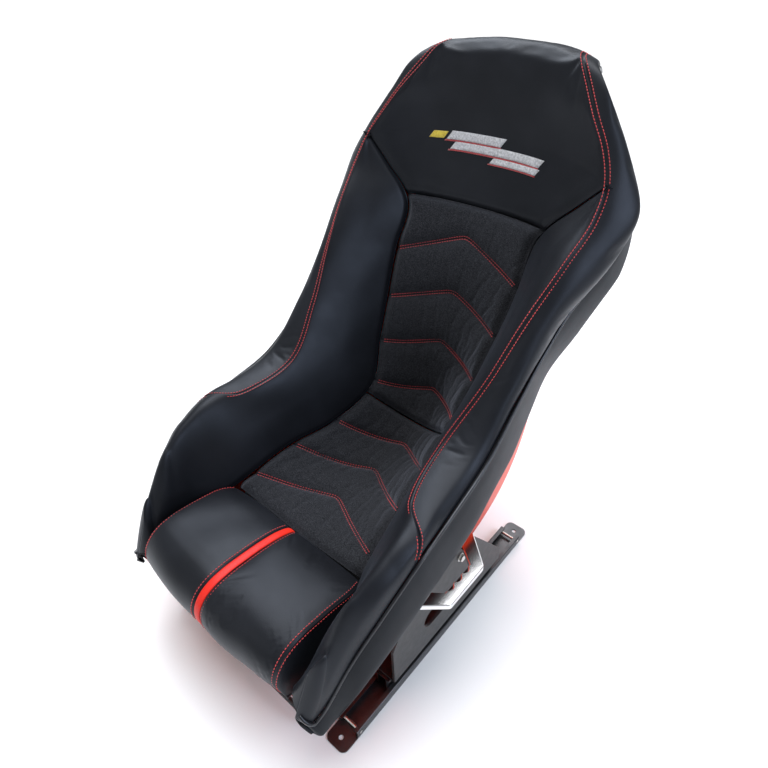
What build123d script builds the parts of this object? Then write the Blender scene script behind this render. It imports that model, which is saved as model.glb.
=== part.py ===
"""High-back racing bucket seat on locking slide rails.

The seat faces -Y and +Z is up.  The origin lies on the floor, on the seat's centre plane, at the
centre of the four floor holes.  Left and right are the occupant's, so left is +X.

The body of the seat is star-shaped about a fan axis that runs left to right in front of the
backrest.  Every upholstered piece and the shell are lofts of sections that stand on planes through
that axis.  In such a section x is the distance from the centre plane and y is the reach from the
axis.  The fan angle is -90 straight down, 0 straight back, and rises towards the head.
"""
import os
from math import cos, hypot, inf, radians, sin

from build123d import *

# ---- driving dimensions, millimetres and degrees ------------------------------------------
FAN_Y = -90.0  # fan axis, in front of the backrest
FAN_Z = 672.0

WALL = 5.0  # fibreglass shell
FOAM_GAP = 3.0  # glue line and tolerance between upholstery and shell
PAD = 26.0  # insert pads
CORNER = 62.0  # outer corner radius of the shell's tub
CROWN = 12.0  # bulge of the shell's base across its width

# Rails: fan angle, half-width, reach.
CREST = ((-114, 230, 400), (-104, 236, 322), (-90, 232, 287), (-78, 204, 288), (-60, 188, 303),
         (-36, 208, 306), (-14, 229, 337), (-2, 246, 392), (5, 256, 450), (11, 246, 500),
         (17, 203, 543), (24, 150, 590))
RIM = ((-114, 240, 562), (-110.5, 251, 469), (-105.5, 263, 388), (-95, 270, 322),
       (-80, 266, 305), (-60, 259, 317), (-38, 254, 332), (-24, 253, 370), (-14, 255, 430),
       (-5, 271, 512), (3, 270, 546), (10, 240, 566), (17, 190, 587), (20.5, 167, 607))
BASE = ((-114, 230, 584), (-105, 240, 554), (-90, 243, 532), (-75, 238, 552), (-64, 228, 588),
        (-52, 216, 604), (-43, 211, 577), (-31.5, 213, 530), (-20.5, 240, 534), (-9, 264, 566),
        (4.5, 238, 604), (11.5, 202, 622), (17, 164, 637), (20.5, 136, 646))
INSERT_EDGE = (
    (-95, 163, 443), (-78, 140, 423), (-65, 115, 449), (-50, 101, 471), (-40, 117, 449),
    (-27, 131, 440), (-15, 141, 449), (-2, 153, 482), (4, 196, 486), (9.5, 238, 494),
)
# Rails on the centre plane: fan angle, reach.
INSERT_CENTRE = (
    (-95, 452), (-82, 463), (-70, 502), (-60, 543), (-54, 556), (-46, 538), (-34, 486),
    (-21, 470), (-9, 479), (-2, 505),
)
HEAD_CENTRE = ((-2, 507), (3, 533), (8, 555), (14, 577), (19, 599), (24, 612))
THIGH_CENTRE = ((-95.5, 447), (-102, 430), (-108, 433), (-113, 443), (-117, 459), (-119, 482))
THIGH_UNDER = ((-113, 560), (-116, 570), (-118, 550), (-119, 528))
BAND_EDGE = (
    (-113, 574), (-106, 516), (-100, 446), (-90, 405), (-76, 398), (-60, 392), (-48, 384),
    (-30, 398), (-14, 458), (-5, 532), (3, 584), (12, 630), (20.5, 684),
)

THIGH_HALF = 178.0  # thigh cushion, side seam
STRIPE_WIDTH = 15.0
CREASE_ANGLE = -54.0  # seat insert meets back insert
THIGH_ANGLE = -95.0  # thigh cushion meets seat insert
YOKE_ANGLE = -2.0  # back insert meets headrest
SHOULDER_ANGLE = 9.5  # bolster meets headrest at the crest
SHELL_TOP_ANGLE = 20.0
PIPING_R = 3.5
BAND_THICK = 3.0
BAND_GAP = 1.8  # boxing strip clear of the shell

# Slide rails
RAIL_X = 236.0
LOWER_HALF = 260.0
LOWER_WIDTH = 46.0
LOWER_HEIGHT = 20.0
SHEET = 3.0
LIP = 9.0
TAB_END = 296.0
FLOOR_HOLE_Y = 278.0
FLOOR_HOLE_R = 4.5
UPPER_HALF = 170.0
UPPER_WIDTH = 34.0
UPPER_TOP = 48.0
FLANGE_UNDER = 13.0
WEB_HALF = 11.0
WEB_SHEET = 2.5
BALL_GAP = 0.05
BALL_ROW_X = 12.0
BALL_Y = 80.0
CAGE_HALF = 100.0
STOP_Y = 252.0
STOP_Z = 12.5
STOP_R = 3.0

# Side brackets, handles and their fasteners
PLINTH_X = 258.0
PLINTH_Z = 227.0
INSIDE_X = PLINTH_X - 17.0  # inner face of the plinth
BRACKET_THICK = 5.0
BRACKET_TOP = 236.0
SHELL_BOLT_Y = (-80.0, 20.0)
SHELL_BOLT_Z = 214.0
FOOT_BOLT_Y = (-120.0, 120.0)
BOLT_R = 4.0
BOLT_HOLE_R = 4.25
HANDLE_ROOT_Y = (-116.0, 36.0)
HANDLE_Z = 247.0
HANDLE_THICK = 12.0
HANDLE_REACH = 318.0
HANDLE_BAR = 20.0
SCALLOP_R = 9.0
SCALLOP_PITCH = 21.0

# Release bar
PIVOT_Y = 20.0
PIVOT_Z = 36.0
ROD_R = 5.0
ARM_X = 203.0
EYE_R = 9.0
EYE_HALF = 6.0
BAR_Y = -300.0
TOOTH_PITCH = 12.5
TOOTH = 4.0
TOOTH_LEAD = -1.0  # centres the teeth when the bar is down
NOTCH = 7.0
NOTCH_DEPTH = 8.5
TEETH_Y = -80.0
RACK_TOP = 20.0
RACK_THICK = 4.0


# ---- helpers ------------------------------------------------------------------------------
def on_rail(rail, angle, column=-1):
    """Value of a rail at a fan angle: a smooth curve through the rail's knots."""
    knots = sorted((knot[0], knot[column]) for knot in rail)
    angle = min(max(angle, knots[0][0]), knots[-1][0])
    slopes = []
    for i in range(len(knots)):
        before, after = knots[max(i - 1, 0)], knots[min(i + 1, len(knots) - 1)]
        slopes.append((after[1] - before[1]) / (after[0] - before[0]))
    i = max(k for k in range(len(knots) - 1) if knots[k][0] <= angle)
    (a0, v0), (a1, v1) = knots[i], knots[i + 1]
    t = (angle - a0) / (a1 - a0)
    blend = t * t * (3 - 2 * t)
    return (v0 * (1 - blend) + v1 * blend
            + (a1 - a0) * t * (1 - t) * (slopes[i] * (1 - t) - slopes[i + 1] * t))


def half_width(rail, angle):
    return on_rail(rail, angle, 1)


def fan_plane(angle):
    """Plane through the fan axis: local x is +X and local y is the reach."""
    turn = radians(angle)
    return Plane(origin=(0, FAN_Y, FAN_Z), x_dir=(1, 0, 0), z_dir=(0, -sin(turn), cos(turn)))


def fan_point(x, angle, reach):
    turn = radians(angle)
    return (x, FAN_Y + reach * cos(turn), FAN_Z + reach * sin(turn))


def wall_x(angle, reach, inset=0.0):
    """Half-width of the shell's straight side at a reach, moved in by inset."""
    top, bottom = on_rail(RIM, angle), on_rail(BASE, angle)
    share = (reach - top) / (bottom - top)
    rim_x, base_x = half_width(RIM, angle), half_width(BASE, angle)
    return rim_x + share * (base_x - rim_x) - inset


def rim_gap(angle, clear=8.0):
    """Clearance along the reach that keeps a true distance from the sloping rim."""
    step = 0.5
    rise = (on_rail(RIM, angle + step) - on_rail(RIM, angle - step)) / (2 * radians(step))
    return clear * hypot(1, rise / on_rail(RIM, angle))


def corner_radius(angle):
    return min(CORNER, 0.55 * (on_rail(BASE, angle) - on_rail(RIM, angle)))


def under_foam(angle):
    """Reach of the underside of the foam, clear of the shell."""
    return on_rail(BASE, angle) - WALL - FOAM_GAP


def tub_section(angle, inset, open_by):
    """Closed outline of the tub: sides, crowned base and rounded corners."""
    top = on_rail(RIM, angle) - open_by
    bottom = on_rail(BASE, angle) - inset
    top_x = wall_x(angle, top, inset)
    bottom_x = wall_x(angle, bottom, inset)
    with BuildSketch(fan_plane(angle)) as section:
        with BuildLine():
            Line((-top_x, top), (-bottom_x, bottom))
            ThreePointArc((-bottom_x, bottom), (0, bottom + CROWN), (bottom_x, bottom))
            Line((bottom_x, bottom), (top_x, top))
            Line((top_x, top), (-top_x, top))
        make_face()
        fillet(section.vertices().group_by(Axis.Y)[-1], corner_radius(angle) - inset)
    return section.sketch


def bolster_foot(angle):
    """Limit of a bolster's inner side at its underside: the tub narrows only at the shoulders."""
    if angle < 0:
        return inf
    under = under_foam(angle)
    return wall_x(angle, under, WALL + FOAM_GAP) - max(corner_radius(angle), 26) - 8


def bolster_section(angle):
    """Left bolster: inner face, crest and outer face over the shell's rim."""
    inner_x = half_width(INSERT_EDGE, max(angle, THIGH_ANGLE)) + 1.5
    inner = on_rail(INSERT_EDGE, max(angle, THIGH_ANGLE))
    if angle < THIGH_ANGLE:
        inner_x = min(inner_x + 2.2 * (THIGH_ANGLE - angle), THIGH_HALF + 6)
        inner = inner + 1.2 * (THIGH_ANGLE - angle)
    crest_x, crest = half_width(CREST, angle), on_rail(CREST, angle)
    outer_x = half_width(RIM, angle) + 4
    rim = on_rail(RIM, angle) - rim_gap(angle)
    under = under_foam(angle)
    round_off = max(corner_radius(angle), 26)
    bulge = (0.45 * crest_x + 0.55 * outer_x + 9, 0.6 * crest + 0.4 * rim - 4)
    puff = 0.03 * hypot(crest_x - inner_x, crest - inner)
    face = (0.5 * (inner_x + crest_x) - puff, 0.5 * (inner + crest) - puff)
    inset = WALL + FOAM_GAP
    foot_x = min(inner_x, bolster_foot(angle))
    with BuildSketch(fan_plane(angle)) as section:
        with BuildLine():
            Spline((inner_x, inner), face, (crest_x, crest), bulge, (outer_x, rim))
            Polyline(
                (outer_x, rim),
                (wall_x(angle, rim, inset), rim),
                (wall_x(angle, under - round_off, inset), under - round_off),
                (max(wall_x(angle, under, inset) - round_off, foot_x + 8), under),
                (foot_x, under),
                (inner_x, inner),
            )
        make_face()
    return section.sketch


def dished_section(angle, edge_x, edge, centre, thickness):
    """Strip across the seat: a dished top and a parallel underside."""
    with BuildSketch(fan_plane(angle)) as section:
        with BuildLine():
            ThreePointArc((-edge_x, edge), (0, centre), (edge_x, edge))
            Line((edge_x, edge), (edge_x, edge + thickness))
            ThreePointArc((edge_x, edge + thickness), (0, centre + thickness),
                          (-edge_x, edge + thickness))
            Line((-edge_x, edge + thickness), (-edge_x, edge))
        make_face()
    return section.sketch


def strip_section(angle, rail, half, dish, clear, thickness):
    """Thin strip lying clear of a surface whose centre follows a rail."""
    under = on_rail(rail, angle) - clear
    top = under - thickness
    with BuildSketch(fan_plane(angle)) as section:
        with BuildLine():
            Spline((-half, top - dish), (0, top), (half, top - dish))
            Line((half, top - dish), (half, under - dish))
            Spline((half, under - dish), (0, under), (-half, under - dish))
            Line((-half, under - dish), (-half, top - dish))
        make_face()
    return section.sketch


def foam_section(angle):
    """Foam underlay between an insert pad and the shell."""
    edge_x = half_width(INSERT_EDGE, angle) - 1.5
    edge = on_rail(INSERT_EDGE, angle) + PAD + 2
    centre = on_rail(INSERT_CENTRE, angle) + PAD + 2
    under = under_foam(angle)
    with BuildSketch(fan_plane(angle)) as section:
        with BuildLine():
            ThreePointArc((-edge_x, edge), (0, centre), (edge_x, edge))
            Polyline((edge_x, edge), (edge_x, under), (-edge_x, under), (-edge_x, edge))
        make_face()
    return section.sketch


def thigh_section(angle):
    """Thigh cushion: crowned top between two side seams."""
    side = THIGH_HALF if angle < -100 else THIGH_HALF - 3.0 * (angle + 100)
    top = on_rail(THIGH_CENTRE, angle)
    under = on_rail(THIGH_UNDER, angle) if angle < -112 else under_foam(angle)
    with BuildSketch(fan_plane(angle)) as section:
        with BuildLine():
            ThreePointArc((-side, top + 9), (0, top), (side, top + 9))
            Polyline((side, top + 9), (side, under - 12), (side - 14, under),
                     (14 - side, under), (-side, under - 12), (-side, top + 9))
        make_face()
    return section.sketch


def head_section(angle):
    """Headrest above the shoulders: dished face, crests and rounded sides."""
    crest_x, crest = half_width(CREST, angle), on_rail(CREST, angle)
    centre = on_rail(HEAD_CENTRE, angle)
    rim_x = half_width(RIM, angle)
    past_shell = max(0.0, angle - SHELL_TOP_ANGLE)
    rim = max(on_rail(RIM, angle) - rim_gap(angle), crest + 10)
    under = under_foam(angle) - 3 - 3 * past_shell
    side_x = crest_x + 24 - 5 * past_shell
    back_x = rim_x - WALL - FOAM_GAP - 2 - 9 * past_shell
    foot_x = min(back_x - 20, wall_x(angle, under, WALL + FOAM_GAP) - 26)
    dish_x, dish = 0.62 * crest_x, 0.25 * crest + 0.75 * centre
    with BuildSketch(fan_plane(angle)) as section:
        with BuildLine():
            Spline((-crest_x, crest), (-dish_x, dish), (0, centre), (dish_x, dish),
                   (crest_x, crest))
            Spline((crest_x, crest), (side_x, 0.55 * crest + 0.45 * rim), (rim_x + 4, rim))
            Polyline((rim_x + 4, rim), (back_x, rim), (foot_x, under),
                     (-foot_x, under), (-back_x, rim), (-rim_x - 4, rim))
            Spline((-rim_x - 4, rim), (-side_x, 0.55 * crest + 0.45 * rim), (-crest_x, crest))
        make_face()
    return section.sketch


def yoke_section(angle):
    """Lower headrest between the two diagonal seams, tucked under the crown at the shoulders."""
    rise = (angle - YOKE_ANGLE) / (SHOULDER_ANGLE - YOKE_ANGLE)
    tuck = 2 * rise
    edge_x = half_width(INSERT_EDGE, angle) - 3 - 3 * rise
    edge = on_rail(INSERT_EDGE, angle) + tuck
    centre = on_rail(HEAD_CENTRE, angle) + tuck
    under = under_foam(angle)
    foot_x = min(edge_x - 1, bolster_foot(angle) - 4.5 - 7 * rise)
    with BuildSketch(fan_plane(angle)) as section:
        with BuildLine():
            Spline((-edge_x, edge), (-0.62 * edge_x, 0.25 * edge + 0.75 * centre), (0, centre),
                   (0.62 * edge_x, 0.25 * edge + 0.75 * centre), (edge_x, edge))
            Polyline((edge_x, edge), (foot_x, under), (-foot_x, under), (-edge_x, edge))
        make_face()
    return section.sketch


def band_section(angle, side):
    """Boxing strip on the outside of one shell wall."""
    top = on_rail(RIM, angle) + rim_gap(angle)
    bottom = max(on_rail(BAND_EDGE, angle), top + 8)
    with BuildSketch(fan_plane(angle)) as section:
        with BuildLine():
            Polyline((side * (wall_x(angle, top) + BAND_GAP), top),
                     (side * (wall_x(angle, top) + BAND_GAP + BAND_THICK), top),
                     (side * (wall_x(angle, bottom) + BAND_GAP + BAND_THICK), bottom),
                     (side * (wall_x(angle, bottom) + BAND_GAP), bottom), close=True)
        make_face()
    return section.sketch


def spread(first, last, count):
    """Evenly spaced fan angles from first to last."""
    return [first + (last - first) * i / (count - 1) for i in range(count)]


def finish(piece, name):
    piece.part.label = name
    export_step(piece.part, f"parts/{name}.step")


os.makedirs("parts", exist_ok=True)

# ---- shell --------------------------------------------------------------------------------
STATIONS = (-112.5, -110, -106, -101, -96, -90, -83, -76, -69, -62, -55, -48, -41, -34, -27, -20,
            -13, -7, YOKE_ANGLE, 1, 4, 6.6, SHOULDER_ANGLE - 0.3, 12, 15, 17.5, SHELL_TOP_ANGLE)

with BuildPart() as tub_inside:
    loft([tub_section(angle, WALL, 60) for angle in STATIONS])

with BuildPart() as seat_shell:
    loft([tub_section(angle, 0, 0) for angle in STATIONS])
    add(tub_inside.part, mode=Mode.SUBTRACT)
    # flat plinths for the side brackets and the grab handles
    for side in (-1, 1):
        with BuildSketch(Plane.YZ.offset(side * INSIDE_X)):
            with Locations(((HANDLE_ROOT_Y[0] + HANDLE_ROOT_Y[1]) / 2, PLINTH_Z)):
                RectangleRounded(186, 60, 10)
        extrude(amount=side * (PLINTH_X - INSIDE_X))
    for y in SHELL_BOLT_Y:
        with BuildSketch(Plane.YZ.offset(-PLINTH_X - 1)):
            with Locations((y, SHELL_BOLT_Z)):
                Circle(BOLT_HOLE_R)
        extrude(amount=2 * PLINTH_X + 2, mode=Mode.SUBTRACT)
    for y in HANDLE_ROOT_Y:
        with BuildSketch(Plane.YZ.offset(-PLINTH_X - 1)):
            with Locations((y, HANDLE_Z)):
                Circle(BOLT_HOLE_R)
        extrude(amount=2 * PLINTH_X + 2, mode=Mode.SUBTRACT)
finish(seat_shell, "seat_shell")


# ---- soft upholstery ----------------------------------------------------------------------
with BuildPart() as thigh_cushion:
    loft([thigh_section(a) for a in (-96, -99, -103, -108, -112, -115, -117, -118.4, -119)])
finish(thigh_cushion, "thigh_cushion")

with BuildPart() as centre_stripe:
    loft([strip_section(a, THIGH_CENTRE, STRIPE_WIDTH / 2, 0.0, 0.6, 2.4)
          for a in (-96, -99, -103, -108, -112, -115, -117, -118.4, -119)])
finish(centre_stripe, "centre_stripe")

for name, first, last in (("seat_insert", THIGH_ANGLE + 1, CREASE_ANGLE - 0.3),
                          ("back_insert", CREASE_ANGLE + 0.3, YOKE_ANGLE - 0.3)):
    with BuildPart() as insert:
        loft([dished_section(a, half_width(INSERT_EDGE, a) - 1.5, on_rail(INSERT_EDGE, a),
                             on_rail(INSERT_CENTRE, a), PAD) for a in spread(first, last, 8)])
    finish(insert, name)

for name, first, last in (("seat_foam", THIGH_ANGLE + 1, CREASE_ANGLE - 0.3),
                          ("back_foam", CREASE_ANGLE + 0.3, YOKE_ANGLE - 0.3)):
    with BuildPart() as foam:
        loft([foam_section(a) for a in spread(first, last, 8)])
    finish(foam, name)

with BuildPart() as bolster_left:
    loft([bolster_section(a) for a in STATIONS if a < SHOULDER_ANGLE])
    # pocket around the plinth's bolt heads and nuts
    with BuildSketch(Plane.YZ.offset(INSIDE_X - 10)):
        with Locations(((HANDLE_ROOT_Y[0] + HANDLE_ROOT_Y[1]) / 2, PLINTH_Z)):
            Rectangle(196, 70)
    extrude(amount=40, mode=Mode.SUBTRACT)
finish(bolster_left, "bolster_left")
with BuildPart() as bolster_right:
    add(mirror(bolster_left.part, about=Plane.YZ, mode=Mode.PRIVATE))
finish(bolster_right, "bolster_right")

HEAD_ANGLES = (SHOULDER_ANGLE, 12, 15, 17.5, SHELL_TOP_ANGLE, 21.5, 22.7, 23.6)
with BuildPart() as headrest_cushion:
    loft([head_section(a) for a in HEAD_ANGLES])
    loft([yoke_section(a) for a in (YOKE_ANGLE, 1, 4, 6.6, SHOULDER_ANGLE)])
finish(headrest_cushion, "headrest_cushion")

with BuildPart() as headrest_emblem:
    loft([strip_section(a, HEAD_CENTRE, 122, 13, 1.2, 1.4) for a in (6.4, 8.4, 10.4)])
finish(headrest_emblem, "headrest_emblem")

for name, side in (("left", 1), ("right", -1)):
    with BuildPart() as side_band:
        loft([band_section(a, side) for a in STATIONS[:-1]])
    finish(side_band, f"side_band_{name}")

with BuildPart() as edge_piping_left:
    with BuildLine() as cord:
        Spline([fan_point(half_width(RIM, a) + PIPING_R + 1.5, a, on_rail(RIM, a))
                for a in STATIONS[:-1]])
    with BuildSketch(Plane(origin=cord.line @ 0, z_dir=cord.line % 0)):
        Circle(PIPING_R)
    sweep(path=cord.line)
finish(edge_piping_left, "edge_piping_left")
with BuildPart() as edge_piping_right:
    add(mirror(edge_piping_left.part, about=Plane.YZ, mode=Mode.PRIVATE))
finish(edge_piping_right, "edge_piping_right")

# ---- grab handles -------------------------------------------------------------------------
HANDLE_MID_Y = (HANDLE_ROOT_Y[0] + HANDLE_ROOT_Y[1]) / 2
ROOT_SPAN = HANDLE_ROOT_Y[1] - HANDLE_ROOT_Y[0]
ARM_HALF = 13.0
BAR_SPAN = 92.0  # straight length of the outer bar

with BuildPart() as grab_handle_left:
    with BuildSketch(Plane.XY.offset(HANDLE_Z - HANDLE_THICK / 2)) as loop:
        with BuildLine():
            Polyline(
                (PLINTH_X, HANDLE_MID_Y - ROOT_SPAN / 2 - ARM_HALF),
                (PLINTH_X + 10, HANDLE_MID_Y - ROOT_SPAN / 2 - ARM_HALF),
                (HANDLE_REACH, HANDLE_MID_Y - BAR_SPAN / 2),
                (HANDLE_REACH, HANDLE_MID_Y + BAR_SPAN / 2),
                (PLINTH_X + 10, HANDLE_MID_Y + ROOT_SPAN / 2 + ARM_HALF),
                (PLINTH_X, HANDLE_MID_Y + ROOT_SPAN / 2 + ARM_HALF),
                (PLINTH_X, HANDLE_MID_Y + ROOT_SPAN / 2 - ARM_HALF),
                (HANDLE_REACH - HANDLE_BAR, HANDLE_MID_Y + BAR_SPAN / 2 - 12),
                (HANDLE_REACH - HANDLE_BAR, HANDLE_MID_Y - BAR_SPAN / 2 + 12),
                (PLINTH_X, HANDLE_MID_Y - ROOT_SPAN / 2 + ARM_HALF),
                close=True,
            )
        make_face()
        # finger scallops on the inner edge
        with Locations((HANDLE_REACH - HANDLE_BAR - 4, HANDLE_MID_Y)):
            with GridLocations(0, SCALLOP_PITCH, 1, 3):
                Circle(SCALLOP_R, mode=Mode.SUBTRACT)
        fillet(loop.vertices().group_by(Axis.X)[-1], 7)
    extrude(amount=HANDLE_THICK)
    chamfer(edges().group_by(Axis.Z)[-1] + edges().group_by(Axis.Z)[0], 1.2)
    for y in HANDLE_ROOT_Y:
        with BuildSketch(Plane.YZ.offset(PLINTH_X)):
            with Locations((y, HANDLE_Z)):
                Circle(BOLT_R + 0.05)
        extrude(amount=18, mode=Mode.SUBTRACT)
finish(grab_handle_left, "grab_handle_left")
with BuildPart() as grab_handle_right:
    add(mirror(grab_handle_left.part, about=Plane.YZ, mode=Mode.PRIVATE))
finish(grab_handle_right, "grab_handle_right")

# ---- side brackets ------------------------------------------------------------------------
FOOT_X = (219.0, PLINTH_X + BRACKET_THICK)

with BuildPart() as side_bracket_left:
    with BuildSketch(Plane.YZ.offset(PLINTH_X)):
        with BuildLine():
            Polyline((-UPPER_HALF + 5, UPPER_TOP), (UPPER_HALF - 5, UPPER_TOP),
                     (UPPER_HALF - 5, 84), (56, BRACKET_TOP), (-112, BRACKET_TOP),
                     (-UPPER_HALF + 5, 152), close=True)
        make_face()
        with Locations((0, 128)):
            SlotCenterToCenter(120, 44, mode=Mode.SUBTRACT)
        with Locations(*[(y, SHELL_BOLT_Z) for y in SHELL_BOLT_Y]):
            Circle(BOLT_HOLE_R, mode=Mode.SUBTRACT)
    extrude(amount=BRACKET_THICK)
    with BuildSketch(Plane.XY.offset(UPPER_TOP)):
        with Locations(((FOOT_X[0] + FOOT_X[1]) / 2, 0)):
            Rectangle(FOOT_X[1] - FOOT_X[0], 2 * UPPER_HALF - 10)
        with Locations(*[(RAIL_X, y) for y in FOOT_BOLT_Y]):
            Circle(BOLT_HOLE_R, mode=Mode.SUBTRACT)
    extrude(amount=BRACKET_THICK)
    outer_bend = edges().filter_by(Axis.Y).group_by(Axis.Z)[0].sort_by(Axis.X)[-1]
    fillet(outer_bend, 4)
finish(side_bracket_left, "side_bracket_left")
with BuildPart() as side_bracket_right:
    add(mirror(side_bracket_left.part, about=Plane.YZ, mode=Mode.PRIVATE))
finish(side_bracket_right, "side_bracket_right")

# ---- fasteners ----------------------------------------------------------------------------
HEX_FLATS = 13.0
FLANGE_R = 9.0


def across(x_start, x_end, y, z, radius):
    """Round bar along X between two x positions, on both sides of the seat."""
    with BuildPart() as bars:
        for side in (-1, 1):
            with BuildSketch(Plane.YZ.offset(side * x_start)):
                with Locations((y, z)):
                    Circle(radius)
            extrude(amount=side * (x_end - x_start))
    return bars.part


def hex_across(x_start, x_end, y, z, bore=0.0):
    """Hexagon along X, with an optional bore, on both sides of the seat."""
    with BuildPart() as hexes:
        for side in (-1, 1):
            with BuildSketch(Plane.YZ.offset(side * x_start)):
                with Locations((y, z)):
                    RegularPolygon(HEX_FLATS / 2, 6, major_radius=False)
                    if bore:
                        Circle(bore, mode=Mode.SUBTRACT)
            extrude(amount=side * (x_end - x_start))
    return hexes.part


with BuildPart() as handle_bolts:
    for y in HANDLE_ROOT_Y:
        add(across(INSIDE_X, PLINTH_X + 15, y, HANDLE_Z, BOLT_R))
        add(across(INSIDE_X, INSIDE_X - 1.6, y, HANDLE_Z, FLANGE_R))
        add(hex_across(INSIDE_X - 1.6, INSIDE_X - 6.5, y, HANDLE_Z))
finish(handle_bolts, "handle_bolts")

with BuildPart() as bracket_bolts:
    for y in SHELL_BOLT_Y:
        add(across(INSIDE_X - 7, FOOT_X[1], y, SHELL_BOLT_Z, BOLT_R))
        add(across(FOOT_X[1], FOOT_X[1] + 1.6, y, SHELL_BOLT_Z, FLANGE_R))
        add(hex_across(FOOT_X[1] + 1.6, FOOT_X[1] + 6.5, y, SHELL_BOLT_Z))
finish(bracket_bolts, "bracket_bolts")

with BuildPart() as bracket_nuts:
    for y in SHELL_BOLT_Y:
        add(hex_across(INSIDE_X, INSIDE_X - 6.5, y, SHELL_BOLT_Z, BOLT_R + 0.05))
finish(bracket_nuts, "bracket_nuts")

FOOT_TOP = UPPER_TOP + BRACKET_THICK
FOOT_BOLTS = [(side * RAIL_X, y) for side in (-1, 1) for y in FOOT_BOLT_Y]

with BuildPart() as foot_bolts:
    with BuildSketch(Plane.XY.offset(FOOT_TOP)):
        with Locations(*FOOT_BOLTS):
            RegularPolygon(HEX_FLATS / 2, 6, major_radius=False)
    extrude(amount=5.3)
    with BuildSketch(Plane.XY.offset(34)):
        with Locations(*FOOT_BOLTS):
            Circle(BOLT_R)
    extrude(amount=FOOT_TOP - 34)
finish(foot_bolts, "foot_bolts")

with BuildPart() as foot_nuts:
    with BuildSketch(Plane.XY.offset(UPPER_TOP - 10.5)):
        with Locations(*FOOT_BOLTS):
            RegularPolygon(HEX_FLATS / 2, 6, major_radius=False)
            Circle(BOLT_R + 0.05, mode=Mode.SUBTRACT)
    extrude(amount=6.5)
finish(foot_nuts, "foot_nuts")

# ---- slide rails --------------------------------------------------------------------------
with BuildPart() as lower_rail_left:
    with BuildSketch(Plane.XZ.offset(-LOWER_HALF)):
        with Locations((RAIL_X, LOWER_HEIGHT / 2)):
            Rectangle(LOWER_WIDTH, LOWER_HEIGHT)
            Rectangle(LOWER_WIDTH - 2 * SHEET, LOWER_HEIGHT - 2 * SHEET, mode=Mode.SUBTRACT)
        with Locations((RAIL_X, LOWER_HEIGHT - SHEET / 2)):
            Rectangle(LOWER_WIDTH - 2 * (SHEET + LIP) + 2 * SHEET, SHEET, mode=Mode.SUBTRACT)
    extrude(amount=2 * LOWER_HALF)
    fillet(edges().filter_by(Axis.Y).group_by(Axis.Z)[-1].sort_by(Axis.X)[0], 2)
    fillet(edges().filter_by(Axis.Y).group_by(Axis.Z)[-1].sort_by(Axis.X)[-1], 2)
    with BuildSketch():
        with Locations((RAIL_X, 0)):
            RectangleRounded(LOWER_WIDTH, 2 * TAB_END, 12)
        with Locations((RAIL_X, FLOOR_HOLE_Y), (RAIL_X, -FLOOR_HOLE_Y)):
            Circle(FLOOR_HOLE_R, mode=Mode.SUBTRACT)
    extrude(amount=SHEET)
    # holes for the end stop pins
    for y in (-STOP_Y, STOP_Y):
        with BuildSketch(Plane.YZ.offset(RAIL_X - LOWER_WIDTH)):
            with Locations((y, STOP_Z)):
                Circle(STOP_R + 0.02)
        extrude(amount=2 * LOWER_WIDTH, mode=Mode.SUBTRACT)
finish(lower_rail_left, "lower_rail_left")
with BuildPart() as lower_rail_right:
    add(mirror(lower_rail_left.part, about=Plane.YZ, mode=Mode.PRIVATE))
finish(lower_rail_right, "lower_rail_right")

with BuildPart() as end_stops:
    for y in (-STOP_Y, STOP_Y):
        add(across(RAIL_X - LOWER_WIDTH / 2 - 1, RAIL_X + LOWER_WIDTH / 2 + 1, y, STOP_Z, STOP_R))
finish(end_stops, "end_stops")

with BuildPart() as upper_rail_left:
    with BuildSketch(Plane.XZ.offset(-UPPER_HALF)):
        with Locations((RAIL_X, (FLANGE_UNDER + UPPER_TOP) / 2)):
            Rectangle(2 * WEB_HALF, UPPER_TOP - FLANGE_UNDER)
        with Locations((RAIL_X, UPPER_TOP - 2)):
            Rectangle(UPPER_WIDTH, 4)
        with Locations((RAIL_X, FLANGE_UNDER + WEB_SHEET / 2)):
            Rectangle(UPPER_WIDTH, WEB_SHEET)
        with Locations((RAIL_X, (FLANGE_UNDER + UPPER_TOP) / 2 - 2)):
            Rectangle(2 * (WEB_HALF - WEB_SHEET), UPPER_TOP - FLANGE_UNDER - 4,
                      mode=Mode.SUBTRACT)
    extrude(amount=2 * UPPER_HALF)
    with BuildSketch(Plane.XY.offset(UPPER_TOP + 1)):
        with Locations(*[(RAIL_X, y) for y in FOOT_BOLT_Y]):
            Circle(BOLT_HOLE_R)
    extrude(amount=-6, mode=Mode.SUBTRACT)
    with BuildSketch(Plane.YZ.offset(RAIL_X - WEB_HALF - 1)):
        with Locations((PIVOT_Y, PIVOT_Z)):
            Circle(BOLT_R + 0.03)
    extrude(amount=WEB_SHEET + 2, mode=Mode.SUBTRACT)
finish(upper_rail_left, "upper_rail_left")
with BuildPart() as upper_rail_right:
    add(mirror(upper_rail_left.part, about=Plane.YZ, mode=Mode.PRIVATE))
finish(upper_rail_right, "upper_rail_right")

# ---- ball cages ---------------------------------------------------------------------------
BALL_R = (FLANGE_UNDER - SHEET) / 2 - BALL_GAP
BALL_Z = (FLANGE_UNDER + SHEET) / 2

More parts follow.
